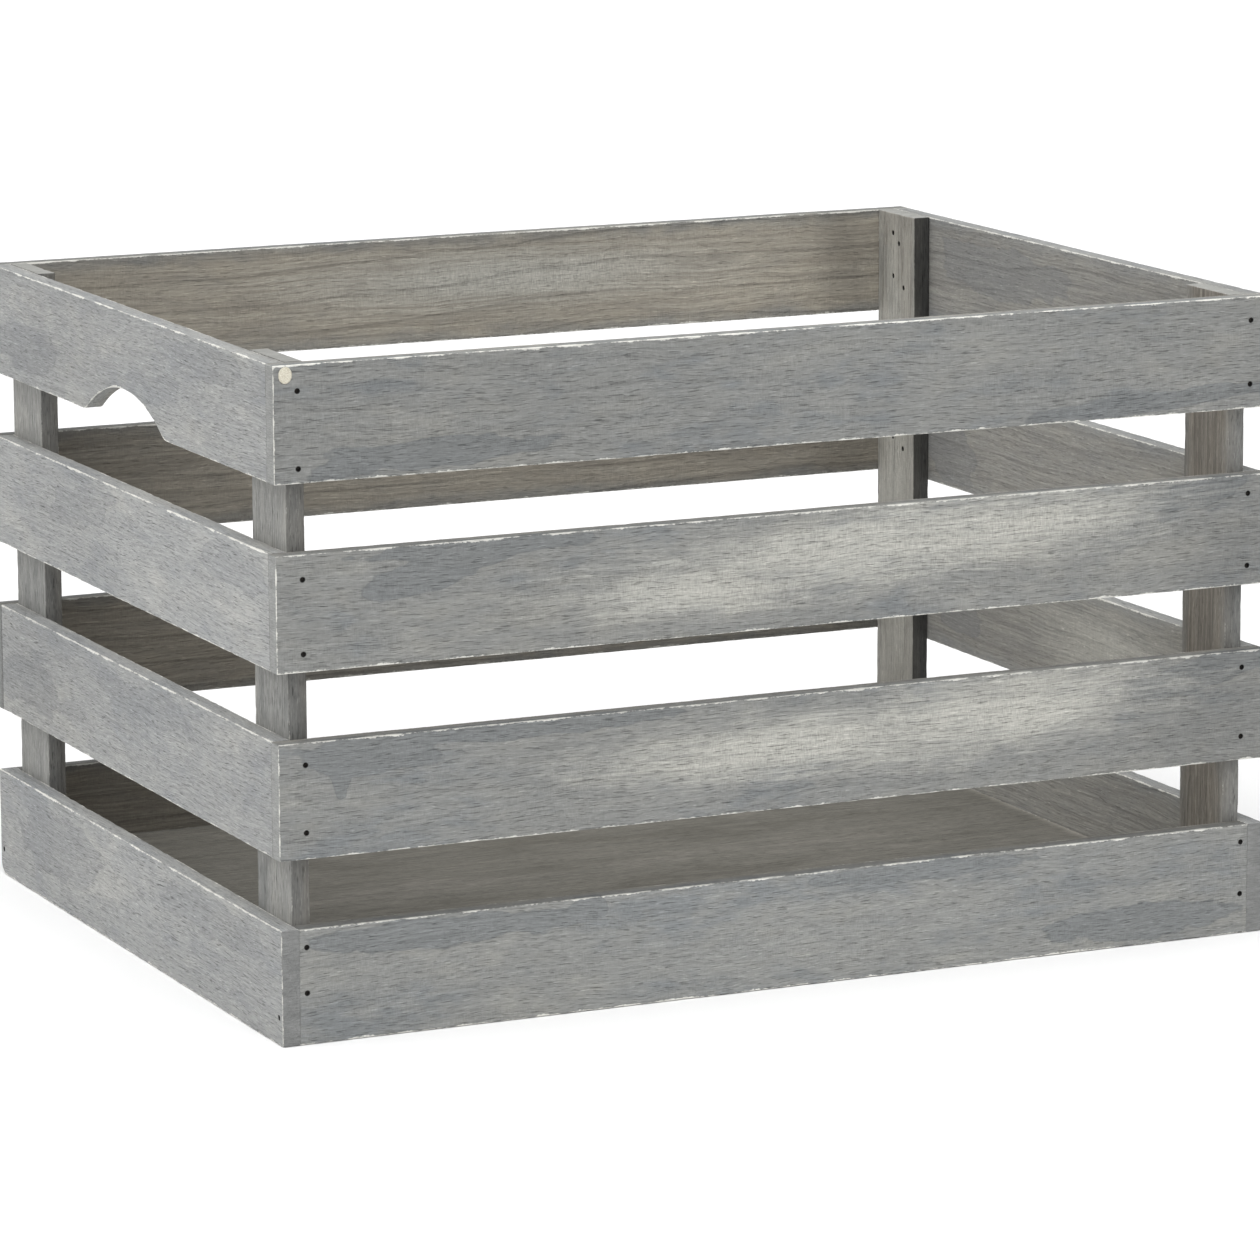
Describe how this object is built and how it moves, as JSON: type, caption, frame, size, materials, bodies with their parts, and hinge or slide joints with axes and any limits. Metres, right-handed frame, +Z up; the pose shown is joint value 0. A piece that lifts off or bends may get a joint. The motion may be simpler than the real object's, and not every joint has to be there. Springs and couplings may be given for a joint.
{
  "type": "apple crate",
  "caption": "Open-topped wooden apple crate of thin grey-washed slats nailed to corner battens, with arched hand holds in the ends and a flat panel floor.",
  "frame": {"origin": "middle of the underside, where the crate stands on a surface", "axes": "+X along the long side, to the right as seen from the front, +Y from the front to the back, +Z up"},
  "size_m": [0.46, 0.346, 0.28],
  "materials": {
    "washed_slat": "grey washed softwood, matt, with worn pale edges",
    "washed_end_slat": "grey washed softwood, matt, with worn pale edges",
    "batten_wood": "grey washed softwood, matt",
    "floor_ply": "grey-brown washed plywood, matt",
    "brad_steel": "dull blackened brads below the surface",
    "plug_wood": "bare pale wood"
  },
  "bodies": {
    "root": {"front_slat_1": "washed_slat", "front_slat_2": "washed_slat", "front_slat_3": "washed_slat", "front_slat_4": "washed_slat", "back_slat_1": "washed_slat", "back_slat_2": "washed_slat", "back_slat_3": "washed_slat", "back_slat_4": "washed_slat", "left_end_slat_1": "washed_end_slat", "left_end_slat_2": "washed_end_slat", "left_end_slat_3": "washed_end_slat", "left_end_slat_4": "washed_end_slat", "right_end_slat_1": "washed_end_slat", "right_end_slat_2": "washed_end_slat", "right_end_slat_3": "washed_end_slat", "right_end_slat_4": "washed_end_slat", "front_left_batten": "batten_wood", "front_right_batten": "batten_wood", "back_left_batten": "batten_wood", "back_right_batten": "batten_wood", "floor_panel": "floor_ply", "front_floor_cleat": "batten_wood", "back_floor_cleat": "batten_wood", "front_slat_brads": "brad_steel", "back_slat_brads": "brad_steel", "left_batten_brads": "brad_steel", "right_batten_brads": "brad_steel", "bottom_corner_brads": "brad_steel", "floor_brads": "brad_steel", "cleat_brads": "brad_steel", "corner_plug": "plug_wood"}
  },
  "joints": []
}
